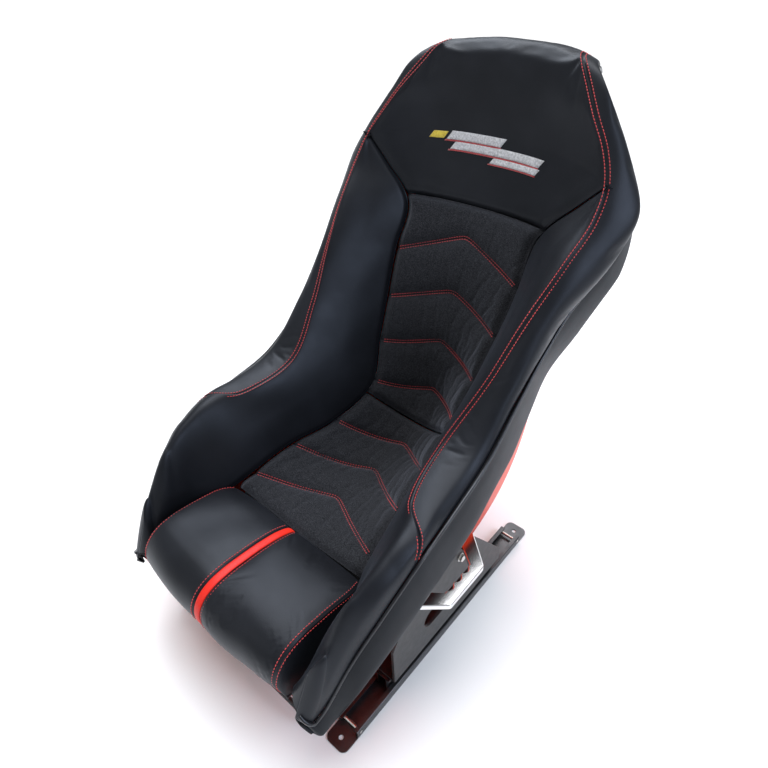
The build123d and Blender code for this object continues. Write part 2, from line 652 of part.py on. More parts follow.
for name, side in (("left", 1), ("right", -1)):
    spots = [(side * RAIL_X + dx, y) for dx in (-BALL_ROW_X, BALL_ROW_X) for y in (-BALL_Y, BALL_Y)]
    with BuildPart() as balls:
        with Locations(*[(x, y, BALL_Z) for x, y in spots]):
            Sphere(BALL_R)
    finish(balls, f"slide_balls_{name}")
    with BuildPart() as cage:
        with BuildSketch(Plane.XY.offset(BALL_Z - 1)):
            with Locations((side * RAIL_X, 0)):
                RectangleRounded(LOWER_WIDTH - 2 * SHEET - 2, 2 * CAGE_HALF, 3)
            with Locations(*spots):
                Circle(BALL_R + 0.1, mode=Mode.SUBTRACT)
        extrude(amount=2)
    finish(cage, f"ball_cage_{name}")

# ---- lock ---------------------------------------------------------------------------------
RACK_X = RAIL_X - LOWER_WIDTH / 2 - RACK_THICK  # inner face of the left rack

with BuildPart() as lock_rack_left:
    with BuildSketch(Plane.YZ.offset(RACK_X)):
        with Locations((TEETH_Y, RACK_TOP / 2)):
            Rectangle(200, RACK_TOP)
        with Locations((TEETH_Y, RACK_TOP - NOTCH_DEPTH / 2)):
            with GridLocations(TOOTH_PITCH, 0, 15, 1):
                Rectangle(NOTCH, NOTCH_DEPTH, mode=Mode.SUBTRACT)
    extrude(amount=RACK_THICK)
finish(lock_rack_left, "lock_rack_left")
with BuildPart() as lock_rack_right:
    add(mirror(lock_rack_left.part, about=Plane.YZ, mode=Mode.PRIVATE))
finish(lock_rack_right, "lock_rack_right")

with BuildPart() as release_bar:
    with BuildLine() as rod:
        FilletPolyline((-ARM_X, PIVOT_Y - 7, PIVOT_Z), (-ARM_X, BAR_Y, PIVOT_Z),
                       (ARM_X, BAR_Y, PIVOT_Z), (ARM_X, PIVOT_Y - 7, PIVOT_Z), radius=30)
    with BuildSketch(Plane(origin=rod.line @ 0, z_dir=rod.line % 0)):
        Circle(ROD_R)
    sweep(path=rod.line)
    add(across(ARM_X - EYE_HALF, ARM_X + EYE_HALF, PIVOT_Y, PIVOT_Z, EYE_R))
    add(across(ARM_X - 10, ARM_X + 10, PIVOT_Y, PIVOT_Z, BOLT_R + 0.05), mode=Mode.SUBTRACT)
finish(release_bar, "release_bar")

with BuildPart() as tooth_plate_left:
    with BuildSketch(Plane.YZ.offset(ARM_X + ROD_R)):
        with Locations((TEETH_Y, PIVOT_Z)):
            Rectangle(46, 12)
        with Locations((TEETH_Y + TOOTH_LEAD, (PIVOT_Z + RACK_TOP + 1) / 2)):
            with GridLocations(TOOTH_PITCH, 0, 3, 1):
                Rectangle(TOOTH, PIVOT_Z - RACK_TOP - 1)
    extrude(amount=RACK_THICK)
finish(tooth_plate_left, "tooth_plate_left")
with BuildPart() as tooth_plate_right:
    add(mirror(tooth_plate_left.part, about=Plane.YZ, mode=Mode.PRIVATE))
finish(tooth_plate_right, "tooth_plate_right")

with BuildPart() as bar_grip:
    with BuildSketch(Plane.YZ.offset(-65)):
        with Locations((BAR_Y, PIVOT_Z)):
            Circle(9)
            Circle(ROD_R + 0.05, mode=Mode.SUBTRACT)
    extrude(amount=130)
    fillet(edges().filter_by(GeomType.CIRCLE).group_by(SortBy.RADIUS)[-1], 2)
finish(bar_grip, "bar_grip")

PIN_HEAD_X = ARM_X - EYE_HALF - 4
with BuildPart() as pivot_pins:
    add(across(PIN_HEAD_X, RAIL_X - WEB_HALF + WEB_SHEET, PIVOT_Y, PIVOT_Z, BOLT_R))
    add(across(PIN_HEAD_X, PIN_HEAD_X + 3.5, PIVOT_Y, PIVOT_Z, 7))
finish(pivot_pins, "pivot_pins")

SPRING_START = ARM_X + EYE_HALF + 1.2
with BuildPart() as latch_spring_left:
    with BuildLine() as coil:
        Helix(pitch=2.6, height=12, radius=6.5, center=(SPRING_START, PIVOT_Y, PIVOT_Z),
              direction=(1, 0, 0))
    with BuildSketch(Plane(origin=coil.line @ 0, z_dir=coil.line % 0)):
        Circle(1)
    sweep(path=coil.line, is_frenet=True)
finish(latch_spring_left, "latch_spring_left")
with BuildPart() as latch_spring_right:
    add(mirror(latch_spring_left.part, about=Plane.YZ, mode=Mode.PRIVATE))
finish(latch_spring_right, "latch_spring_right")
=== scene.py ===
"""Upholstered racing bucket seat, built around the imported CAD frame.

Shape tables are in millimetres and degrees, in the CAD frame; meshes are written in metres.
Stations run along the seat, from the front lip (about -120) over the crease and the headrest (24)
and down behind it (43).  Up to the shoulders a station is the CAD's fan angle.
"""
from math import cos, radians, sin

import bpy
import numpy as np
from mathutils import Matrix, Vector


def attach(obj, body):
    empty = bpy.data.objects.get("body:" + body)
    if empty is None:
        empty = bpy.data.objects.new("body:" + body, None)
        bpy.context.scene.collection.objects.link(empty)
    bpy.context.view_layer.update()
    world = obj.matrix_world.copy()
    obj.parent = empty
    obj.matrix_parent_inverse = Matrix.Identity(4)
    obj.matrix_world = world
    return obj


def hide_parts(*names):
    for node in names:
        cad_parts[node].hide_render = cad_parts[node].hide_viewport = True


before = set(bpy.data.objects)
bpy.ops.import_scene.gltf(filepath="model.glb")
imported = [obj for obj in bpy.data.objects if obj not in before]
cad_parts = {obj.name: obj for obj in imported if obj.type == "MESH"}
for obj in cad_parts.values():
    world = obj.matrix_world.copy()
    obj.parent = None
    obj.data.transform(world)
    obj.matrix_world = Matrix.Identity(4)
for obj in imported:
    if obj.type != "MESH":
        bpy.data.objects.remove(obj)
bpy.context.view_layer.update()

MM = 0.001
FAN_Y, FAN_Z = -90.0, 672.0


# ---- rails ----------------------------------------------------------------------------------
def fan(station, x, reach):
    """One rail knot from its fan angle, half-width and reach."""
    turn = radians(station)
    return (station, x, FAN_Y + reach * cos(turn), FAN_Z + reach * sin(turn))


CREST = (
    fan(-114.5, 234, 440), fan(-113, 233, 385), fan(-109, 234, 344), fan(-104, 235, 318),
    fan(-97, 235, 296), fan(-90, 229, 288), fan(-78, 204, 288), fan(-60, 188, 303),
    fan(-36, 208, 306), fan(-14, 229, 337), fan(-2, 246, 392), fan(5, 256, 450),
    fan(10, 250, 490), fan(14, 228, 522), fan(18, 196, 550), (22, 166, 456, 880),
    (25, 148, 470, 902), (29, 136, 487, 911), (33, 134, 503, 911), (38, 140, 520, 900),
    (43, 150, 530, 883),
)
RIM = (
    fan(-114.5, 242, 566), fan(-113.5, 245, 550), fan(-110.5, 254, 469), fan(-105.5, 267, 388),
    fan(-95, 274, 322), fan(-80, 270, 305), fan(-60, 263, 317), fan(-38, 258, 332),
    fan(-24, 256, 370), fan(-14, 257, 430), fan(-5, 274, 512), fan(3, 273, 546),
    fan(10, 242, 566), fan(17, 191, 587), fan(20.5, 167, 607), (23, 160, 489, 890),
    (26, 157, 498, 892), (32, 154, 512, 891), (38, 151, 523, 887), (43, 149, 531, 881),
)
BULGE = (
    fan(-114.5, 243, 500), fan(-112.5, 250, 430), fan(-107, 262, 350), fan(-100, 266, 312),
    fan(-90, 264, 288), fan(-78, 252, 286), fan(-60, 243, 300), fan(-36, 250, 308),
    fan(-14, 266, 363), fan(-2, 296, 452), fan(5, 302, 504), fan(11, 270, 534),
    fan(17, 226, 565), (20.5, 198, 457, 874), (23, 180, 468, 891), (26, 168, 480, 899),
    (32, 157, 500, 903), (38, 153, 517, 896), (43, 150, 529, 883),
)
EDGE = (
    fan(-114.5, 193, 532), fan(-110, 190, 528), fan(-105, 187, 508), fan(-100, 178, 466),
    fan(-95, 163, 443),
    fan(-78, 140, 423), fan(-65, 115, 449), fan(-50, 101, 471), fan(-40, 117, 449),
    fan(-27, 131, 440), fan(-15, 141, 449), fan(-2, 153, 482), fan(4, 199, 484),
    fan(10, 250, 491),
)
CENTRE = (
    fan(-95, 0, 452), fan(-82, 0, 463), fan(-70, 0, 502), fan(-60, 0, 543), fan(-54, 0, 556),
    fan(-46, 0, 538), fan(-34, 0, 486), fan(-21, 0, 470), fan(-9, 0, 479), fan(-2, 0, 506),
    fan(3, 0, 533), fan(8, 0, 555), fan(14, 0, 577), fan(19, 0, 600), (23, 0, 488, 903),
    (26, 0, 498, 918), (30, 0, 512, 925), (34, 0, 525, 920), (38, 0, 533, 906), (43, 0, 536, 884),
)
THIGH = (
    (0, 0, -126, 222), (1, 0, -142, 236), (2, 0, -160, 245), (4, 0, -200, 256), (6, 0, -240, 262),
    (8, 0, -280, 265), (9, 0, -302, 263), (10, 0, -324, 254), (11, 0, -340, 237),
    (12, 0, -347, 215), (13, 0, -344, 192), (14, 0, -334, 172), (15, 0, -318, 156),
)
BASE = (
    fan(-114, 230, 584), fan(-105, 240, 554), fan(-90, 243, 532), fan(-75, 238, 552),
    fan(-64, 228, 588), fan(-52, 216, 602), fan(-43, 211, 573), fan(-31.5, 213, 522),
    fan(-20.5, 243, 533), fan(-9, 268, 566), fan(4.5, 240, 602), fan(11.5, 202, 620),
    fan(17, 164, 633), fan(20.5, 134, 641),
)
# Chevron seams of the inserts: station on the centre line, station at the edge.
BACK_CHEVRONS = ((-8.5, -14.9), (-21.5, -27.6), (-34.0, -39.7), (-45.5, -50.1))
SEAT_CHEVRONS = ((-59.9, -64.7), (-69.4, -77.6), (-81.5, -90.5))
CREASE, YOKE, SHOULDER, BACK_END = -54.0, -2.0, 10.0, 43.0


def smooth(knots, at):
    """Smooth curve through knots (parameter, values...), evaluated at an array."""
    table = np.array(knots, float)
    start, values = table[:, 0], table[:, 1:]
    at = np.clip(np.asarray(at, float), start[0], start[-1])
    slope = np.gradient(values, start, axis=0)
    i = np.clip(np.searchsorted(start, at, side="right") - 1, 0, len(start) - 2)
    span = (start[i + 1] - start[i])[..., None]
    s = (at - start[i])[..., None] / span
    return (values[i] * (1 + 2 * s) * (1 - s) ** 2 + values[i + 1] * s * s * (3 - 2 * s)
            + span * (slope[i] * s * (1 - s) ** 2 - slope[i + 1] * s * s * (1 - s)))


def through(points, at):
    """Smooth curves through a stack of control curves (k, n, 3), at k-index values (m,) or (m, n)."""
    count = len(points)
    at = np.broadcast_to(np.asarray(at, float).reshape(len(at), -1), (len(at), points.shape[1]))
    i = np.clip(at.astype(int), 0, count - 2)
    s = (at - i)[..., None]
    columns = np.arange(points.shape[1])[None, :]

    def row(k):
        return points[np.clip(k, 0, count - 1), columns]

    before, here, after, beyond = row(i - 1), row(i), row(i + 1), row(i + 2)
    m0, m1 = (after - before) / 2, (beyond - here) / 2
    return (here * (1 + 2 * s) * (1 - s) ** 2 + after * s * s * (3 - 2 * s)
            + m0 * s * (1 - s) ** 2 - m1 * s * s * (1 - s))


def crowded(count, first=0.85, last=0.85):
    """Parameters from 0 to 1 that crowd towards the ends, where the seams are."""
    u = np.linspace(0, 1, count)
    low = u - first * np.sin(2 * np.pi * u) / (2 * np.pi)
    high = u - last * np.sin(2 * np.pi * u) / (2 * np.pi)
    return low * (1 - u) + high * u


def crowd_at(first, last, marks, step, fine):
    """Stations from first to last, about step apart and about fine apart near the marks."""
    at, out = first, [first]
    while at < last:
        near = min((abs(at - m) for m in marks), default=1e9)
        at += fine + (step - fine) * min(1.0, near / (4 * step))
        out.append(min(at, last))
    return np.array(out)


# ---- meshes ---------------------------------------------------------------------------------
def normals_of(grid, towards):
    """Unit normals of a grid of points, on the side of the point towards."""
    normal = np.cross(np.gradient(grid, axis=0), np.gradient(grid, axis=1))
    normal /= np.linalg.norm(normal, axis=-1, keepdims=True) + 1e-12
    facing = ((np.asarray(towards, float) - grid) * normal).sum()
    return normal if facing > 0 else -normal


def rows_apart(grid, axis):
    """Distance along the grid from its first row, per point."""
    step = np.linalg.norm(np.diff(grid, axis=axis), axis=-1)
    shape = list(step.shape)
    shape[axis] = 1
    return np.concatenate([np.zeros(shape), np.cumsum(step, axis=axis)], axis=axis)


def edge_distance(grid, axis):
    """Distances of each point to the first and the last row along one axis."""
    run = rows_apart(grid, axis)
    total = run.take([-1], axis=axis)
    return run, total - run


def new_object(name, vertices, faces, material, body="seat"):
    mesh = bpy.data.meshes.new(name)
    mesh.from_pydata([tuple(v) for v in vertices], [], faces)
    mesh.validate()
    mesh.update()
    mesh.polygons.foreach_set("use_smooth", [True] * len(mesh.polygons))
    mesh.materials.append(material)
    obj = bpy.data.objects.new(name, mesh)
    bpy.context.scene.collection.objects.link(obj)
    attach(obj, body)
    return obj


def grid_quads(grid, normal):
    """Quads of a grid, wound so that they face along the normals, and whether they had to turn."""
    m, n = grid.shape[:2]
    index = np.arange(m * n).reshape(m, n)
    quads = np.stack([index[:-1, :-1], index[1:, :-1], index[1:, 1:], index[:-1, 1:]],
                     axis=-1).reshape(-1, 4)
    points = grid.reshape(-1, 3)
    a, b, c = points[quads[:, 0]], points[quads[:, 1]], points[quads[:, 2]]
    turned = (np.cross(b - a, c - a) * normal.reshape(-1, 3)[quads[:, 0]]).sum() <= 0
    return (quads[:, ::-1] if turned else quads), turned


def slab(name, grid, normal, thickness, material):
    """Closed sheet: the grid on top, a copy thickness below it and walls around."""
    m, n = grid.shape[:2]
    top = grid.reshape(-1, 3)
    bottom = (grid - normal * thickness).reshape(-1, 3)
    index = np.arange(m * n).reshape(m, n)
    upper, turned = grid_quads(grid, normal)
    lower = upper[:, ::-1] + m * n
    rim = np.concatenate([index[:, 0], index[-1, 1:], index[-2::-1, -1], index[0, -2:0:-1]])
    following = np.roll(rim, -1)
    walls = np.stack([rim, following, following + m * n, rim + m * n], axis=-1)
    walls = walls if turned else walls[:, ::-1]
    faces = np.concatenate([upper, lower, walls]).tolist()
    return new_object(name, np.concatenate([top, bottom]) * MM, faces, material)


def tube(name, path, radius, material, sides=10, body="seat"):
    """Round cord along a path, closed at both ends."""
    path = np.asarray(path, float)
    tangent = np.gradient(path, axis=0)
    tangent /= np.linalg.norm(tangent, axis=1, keepdims=True)
    side = np.cross(tangent, (0.0, 0.3, 1.0))
    side /= np.linalg.norm(side, axis=1, keepdims=True)
    up = np.cross(side, tangent)
    turn = np.linspace(0, 2 * np.pi, sides, endpoint=False)
    ring = (side[:, None] * np.cos(turn)[None, :, None] + up[:, None] * np.sin(turn)[None, :, None])
    points = (path[:, None] + ring * radius).reshape(-1, 3)
    faces = []
    for i in range(len(path) - 1):
        for j in range(sides):
            k = (j + 1) % sides
            faces.append((i * sides + j, i * sides + k, (i + 1) * sides + k, (i + 1) * sides + j))
    faces.append(tuple(range(sides))[::-1])
    faces.append(tuple((len(path) - 1) * sides + j for j in range(sides)))
    return new_object(name, points * MM, faces, material, body)


def stitches(name, rows, material, length=4.0, gap=1.5, radius=0.72):
    """Thread stitches along rows of (points, normals): short rods that dip at their ends."""
    vertices, faces = [], []
    turn = np.linspace(0, 2 * np.pi, 6, endpoint=False)
    lifts = (-0.5, 0.25, 0.42, 0.25, -0.5)
    for points, normal in rows:
        run = np.concatenate([[0], np.cumsum(np.linalg.norm(np.diff(points, axis=0), axis=1))])
        starts = np.arange(gap, run[-1] - length - gap, length + gap)
        for start in starts:
            at = np.linspace(start, start + length, 5)
            centre = np.stack([np.interp(at, run, points[:, c]) for c in range(3)], axis=1)
            up = np.stack([np.interp(at, run, normal[:, c]) for c in range(3)], axis=1)
            centre = centre + up * np.array(lifts)[:, None]
            along = centre[-1] - centre[0]
            side = np.cross(along, up)
            side /= np.linalg.norm(side, axis=1, keepdims=True) + 1e-9
            first = len(vertices)
            thick = np.array((0.55, 1, 1, 1, 0.55)) * radius
            for i in range(5):
                for a in turn:
                    vertices.append(centre[i] + thick[i] * (side[i] * cos(a) + up[i] * sin(a)))
            for i in range(4):
                for j in range(6):
                    k = (j + 1) % 6
                    base = first + i * 6
                    faces.append((base + j, base + k, base + 6 + k, base + 6 + j))
            faces.append(tuple(first + j for j in range(6))[::-1])
            faces.append(tuple(first + 24 + j for j in range(6)))
    return new_object(name, np.array(vertices) * MM, faces, material)


# ---- materials ------------------------------------------------------------------------------
class Nodes:
    """Short way to write a node material."""

    def __init__(self, name):
        self.material = bpy.data.materials.new(name)
        self.material.use_nodes = True
        self.tree = self.material.node_tree
        self.shader = self.tree.nodes["Principled BSDF"]
        self.place = self.add("ShaderNodeTexCoord").outputs["Object"]

    def add(self, kind, **settings):
        node = self.tree.nodes.new(kind)
        for key, value in settings.items():
            if key in node.inputs:
                node.inputs[key].default_value = value
            else:
                setattr(node, key, value)
        return node

    def link(self, source, target):
        self.tree.links.new(source, target)

    def noise(self, scale, detail=4.0, roughness=0.55):
        node = self.add("ShaderNodeTexNoise", Scale=scale, Detail=detail, Roughness=roughness)
        self.link(self.place, node.inputs["Vector"])
        return node.outputs["Fac"]

    def cells(self, scale):
        node = self.add("ShaderNodeTexVoronoi", Scale=scale)
        node.feature = "DISTANCE_TO_EDGE"
        self.link(self.place, node.inputs["Vector"])
        return node.outputs["Distance"]

    def ramp(self, source, low, high, start=0.3, end=0.7):
        node = self.add("ShaderNodeValToRGB")
        node.color_ramp.elements[0].position = start
        node.color_ramp.elements[1].position = end
        node.color_ramp.elements[0].color = (*low, 1)
        node.color_ramp.elements[1].color = (*high, 1)
        self.link(source, node.inputs["Fac"])
        return node.outputs["Color"]

    def span(self, source, low, high):
        node = self.add("ShaderNodeMapRange")
        node.inputs["To Min"].default_value = low
        node.inputs["To Max"].default_value = high
        self.link(source, node.inputs["Value"])
        return node.outputs["Result"]

    def bump(self, layers):
        """Stack of (height, strength, distance in metres)."""
        last = None
        for height, strength, distance in layers:
            node = self.add("ShaderNodeBump", Strength=strength, Distance=distance)
            self.link(height, node.inputs["Height"])
            if last:
                self.link(last, node.inputs["Normal"])
            last = node.outputs["Normal"]
        self.link(last, self.shader.inputs["Normal"])

    def set(self, **inputs):
        for key, value in inputs.items():
            self.shader.inputs[key.replace("_", " ")].default_value = value


def leather(name, dark, light, rough, grain=420.0, coat=0.0, sheen=0.05):
    """Upholstery leather: pebble grain, soft mottling and uneven gloss."""
    n = Nodes(name)
    n.link(n.ramp(n.noise(9, 5), dark, light), n.shader.inputs["Base Color"])
    n.link(n.span(n.noise(38, 3), rough - 0.05, rough + 0.06), n.shader.inputs["Roughness"])
    n.bump([(n.noise(14, 2), 0.10, 0.0020), (n.cells(grain), 0.30, 0.0004),
            (n.noise(grain * 2.2, 4), 0.22, 0.0002)])
    n.set(Specular_IOR_Level=0.27, Specular_Tint=(0.82, 0.88, 1.0, 1), Coat_Weight=coat,
          Coat_Roughness=0.3, Sheen_Weight=sheen, Sheen_Roughness=0.4,
          Sheen_Tint=(0.70, 0.80, 1.0, 1))
    return n.material


def suede(name):
    """Microfibre suede: short nap with light and dark brush marks."""
    n = Nodes(name)
    n.link(n.ramp(n.noise(700, 6, 0.8), (0.002, 0.002, 0.003), (0.060, 0.063, 0.072), 0.44, 0.68),
           n.shader.inputs["Base Color"])
    n.bump([(n.noise(16, 3), 0.12, 0.0015), (n.noise(1300, 6, 0.85), 0.9, 0.0005)])
    n.set(Roughness=0.95, Specular_IOR_Level=0.15, Sheen_Weight=0.22, Sheen_Roughness=0.45,
          Sheen_Tint=(0.72, 0.78, 0.95, 1))
    return n.material


def thread(name, colour):
    """Bonded sewing thread with a fine twist."""
    n = Nodes(name)
    n.link(n.ramp(n.noise(900, 2), tuple(c * 0.6 for c in colour), colour),
           n.shader.inputs["Base Color"])
    n.bump([(n.noise(2600, 2), 0.5, 0.0002)])
    n.set(Roughness=0.55, Sheen_Weight=0.3)
    return n.material


def gelcoat(name):
    """Glossy gelcoat over glass cloth, with orange peel and faint fibre print."""
    n = Nodes(name)
    n.link(n.ramp(n.noise(5, 3), (0.66, 0.035, 0.006), (0.80, 0.060, 0.010)),
           n.shader.inputs["Base Color"])
    n.link(n.span(n.noise(60, 4), 0.26, 0.38), n.shader.inputs["Roughness"])
    n.bump([(n.noise(28, 2), 0.12, 0.0012), (n.noise(260, 2), 0.06, 0.0003)])
    n.set(Coat_Weight=0.0, Specular_IOR_Level=0.3)
    return n.material


def metal(name, low, high, rough, scratches=0.15, stretch=(1, 1, 1)):
    """Metal with streaked roughness from its finish."""
    n = Nodes(name)
    mapping = n.add("ShaderNodeMapping")
    mapping.inputs["Scale"].default_value = stretch
    n.link(n.place, mapping.inputs["Vector"])
    streaks = n.add("ShaderNodeTexNoise", Scale=240, Detail=5)
    n.link(mapping.outputs["Vector"], streaks.inputs["Vector"])
    n.link(n.ramp(n.noise(22, 4), low, high), n.shader.inputs["Base Color"])
    n.link(n.span(streaks.outputs["Fac"], rough * 0.7, rough * 1.4), n.shader.inputs["Roughness"])
    n.bump([(streaks.outputs["Fac"], scratches, 0.0002)])
    n.set(Metallic=1.0)
    return n.material


def coated(name, low, high, rough, grain):
    """Powder coat, plastic or rubber with a fine orange peel."""
    n = Nodes(name)
    n.link(n.ramp(n.noise(30, 4), low, high), n.shader.inputs["Base Color"])
    n.link(n.span(n.noise(80, 3), rough - 0.08, rough + 0.08), n.shader.inputs["Roughness"])
    n.bump([(n.noise(grain, 3), 0.25, 0.0003)])
    return n.material


def embroidery(name, low, high):
    """Satin stitch: parallel threads that catch the light."""
    n = Nodes(name)
    wave = n.add("ShaderNodeTexWave", Scale=420, Distortion=1.2)
    n.link(n.place, wave.inputs["Vector"])
    n.link(n.ramp(n.noise(300, 3), low, high), n.shader.inputs["Base Color"])
    n.bump([(wave.outputs["Fac"], 0.6, 0.0004)])
    n.set(Roughness=0.42, Sheen_Weight=0.4)
    return n.material


LEATHER = leather("black_leather", (0.0035, 0.0038, 0.0050), (0.0080, 0.0086, 0.0112), 0.43)
BOXING = leather("boxing_vinyl", (0.006, 0.006, 0.0065), (0.012, 0.012, 0.013), 0.56, grain=300)
PIPING = leather("piping_vinyl", (0.006, 0.006, 0.007), (0.012, 0.012, 0.014), 0.26, coat=0.4)
RED = leather("red_leather", (0.62, 0.016, 0.008), (0.74, 0.026, 0.012), 0.45, sheen=0.0)
SUEDE = suede("black_suede")
THREAD = thread("red_thread", (0.66, 0.022, 0.024))
GELCOAT = gelcoat("red_gelcoat")
BILLET = metal("polished_billet", (0.80, 0.80, 0.81), (0.92, 0.92, 0.93), 0.16, 0.05, (1, 6, 1))
# Near-black rail steel is painted shade: the rails are darkened to read as the shadow under the seat.
SHADOW_DARK_STEEL = metal("rail_steel", (0.06, 0.06, 0.065), (0.11, 0.11, 0.115), 0.38, 0.2, (30, 1, 30))
ZINC = metal("zinc_plate", (0.55, 0.54, 0.50), (0.72, 0.71, 0.68), 0.30, 0.15)
POWDER = coated("black_powder_coat", (0.010, 0.010, 0.011), (0.020, 0.020, 0.022), 0.45, 900)
NYLON = coated("natural_nylon", (0.62, 0.60, 0.55), (0.75, 0.73, 0.68), 0.5, 500)
RUBBER = coated("grip_rubber", (0.010, 0.010, 0.010), (0.022, 0.022, 0.022), 0.8, 700)
FOAM = coated("moulded_foam", (0.10, 0.10, 0.11), (0.17, 0.17, 0.18), 0.9, 400)
SILVER = embroidery("silver_embroidery", (0.42, 0.42, 0.44), (0.80, 0.80, 0.82))
RED_SATIN = embroidery("red_embroidery", (0.35, 0.02, 0.03), (0.60, 0.05, 0.05))
YELLOW_SATIN = embroidery("yellow_embroidery", (0.60, 0.42, 0.03), (0.85, 0.66, 0.06))

CAD_FINISHES = {
    GELCOAT: ("seat_shell",),
    BILLET: ("grab_handle_left", "grab_handle_right"),
    POWDER: ("side_bracket_left", "side_bracket_right", "release_bar"),
    SHADOW_DARK_STEEL: ("upper_rail_left", "upper_rail_right", "lower_rail_left", "lower_rail_right",
            "lock_rack_left", "lock_rack_right"),
    ZINC: ("handle_bolts", "bracket_bolts", "bracket_nuts", "foot_bolts", "foot_nuts",
           "end_stops", "slide_balls_left", "slide_balls_right", "tooth_plate_left",
           "tooth_plate_right", "pivot_pins", "latch_spring_left", "latch_spring_right"),
    NYLON: ("ball_cage_left", "ball_cage_right"),
    RUBBER: ("bar_grip",),
    FOAM: ("seat_foam", "back_foam"),
}
for finish, nodes in CAD_FINISHES.items():
    for node in nodes:
        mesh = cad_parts[node].data
        mesh.materials.clear()
        mesh.materials.append(finish)

# ---- bolsters and side panels ---------------------------------------------------------------
SEAM_LEAVES, SEAM_ENDS = -82.0, -96.0  # the crest seam runs out to the piping between these
STITCH_OFFSET = 4.2
TUCKED_FROM = -100.0  # from here back a bolster's inner edge is pulled down beside the inserts
AXIS = (0.0, FAN_Y, FAN_Z)
OUTSIDE = (2000.0, 100.0, 900.0)
SHEET = 2.4  # thickness of every cover


def mirrored(grid, side):
    return grid * np.array([side, 1.0, 1.0])


def bolster_controls(station):
    """Control curves across a bolster: insert edge, face, crest, bulge, rim."""
    edge, crest = smooth(EDGE, station), smooth(CREST, station)
    bulge, rim = smooth(BULGE, station), smooth(RIM, station)
    inward = np.array(AXIS) - (edge + crest) / 2
    inward /= np.linalg.norm(inward, axis=1, keepdims=True)
    length = np.linalg.norm(crest - edge, axis=1, keepdims=True)
    face = (edge + crest) / 2 + inward * 0.05 * length
    return np.stack([edge, face, crest, bulge, rim])


# A wing ends in a rounded nose between two stations, closed on an upright spine.
NOSE_FROM, NOSE_TO, SPINE_X = -114.5, -116.3, 219.0
SPINE_TOP, SPINE_FOOT, FOOT_DROP = 478.0, 600.0, 18.0


def nosed(section):
    """Carry a wing's cross-section on past its front end as a rounded nose.

    section(stations) returns the section there; beyond NOSE_FROM it closes on a spine."""
    def surface(stations):
        body = section(np.maximum(stations, NOSE_FROM))
        turn = np.clip((NOSE_FROM - stations) / (NOSE_FROM - NOSE_TO), 0, 1) * np.pi / 2
        away = body - np.array(AXIS)
        reach = np.linalg.norm(away[..., 1:], axis=-1)
        inner = (body[..., 0] < SPINE_X) * np.clip((reach - SPINE_TOP) / 54, 0, 1)
        spine_reach = np.clip(reach, SPINE_TOP, SPINE_FOOT) + FOOT_DROP * inner
        x = SPINE_X + (body[..., 0] - SPINE_X) * np.cos(turn)
        reach = spine_reach + (reach - spine_reach) * np.cos(turn)
        angle = np.radians(NOSE_FROM + (NOSE_TO - NOSE_FROM) * np.sin(turn))
        nose = np.stack([x, FAN_Y + reach * np.cos(angle), FAN_Z + reach * np.sin(angle)], -1)
        return np.where((stations < NOSE_FROM)[..., :, None], nose, body)

    return surface


def nose_stations(last, marks, step=0.55, fine=0.12):
    """Stations from the tip of the nose: even around the nose, then along the side."""
    nose = np.linspace(NOSE_TO, NOSE_FROM, 22)[:-1]
    return np.concatenate([nose, crowd_at(NOSE_FROM, last, marks, step, fine)])


def seam_index(station):
    """Where the red seam crosses the control curves: 2 is the crest, 4 the rim."""
    leave = np.clip((SEAM_LEAVES - station) / (SEAM_LEAVES - SEAM_ENDS), 0, 1)
    return 2 + 2 * leave ** 1.6


def groove(distance, depth, width):
    return -depth * np.exp(-(distance / width) ** 2)


def ripple(grid, height):
    """Slow unevenness of hand-fitted leather."""
    x, y, z = np.moveaxis(grid, -1, 0)
    wave = (np.sin(x / 21 + np.sin(z / 37) * 1.3) * np.sin(y / 29 + 0.7)
            + 0.6 * np.sin(z / 17 + x / 43 + 1.9) * np.sin(y / 47 - x / 25))
    return height * wave


def spread_over(values, across, along, fine_across, fine_along):
    """Coarse grid of vectors, smoothly interpolated to a finer grid."""
    i = np.interp(fine_across, across, np.arange(len(across)))
    j = np.interp(fine_along, along, np.arange(len(along)))
    values = through(values, i)
    return through(values.transpose(1, 0, 2), j).transpose(1, 0, 2)


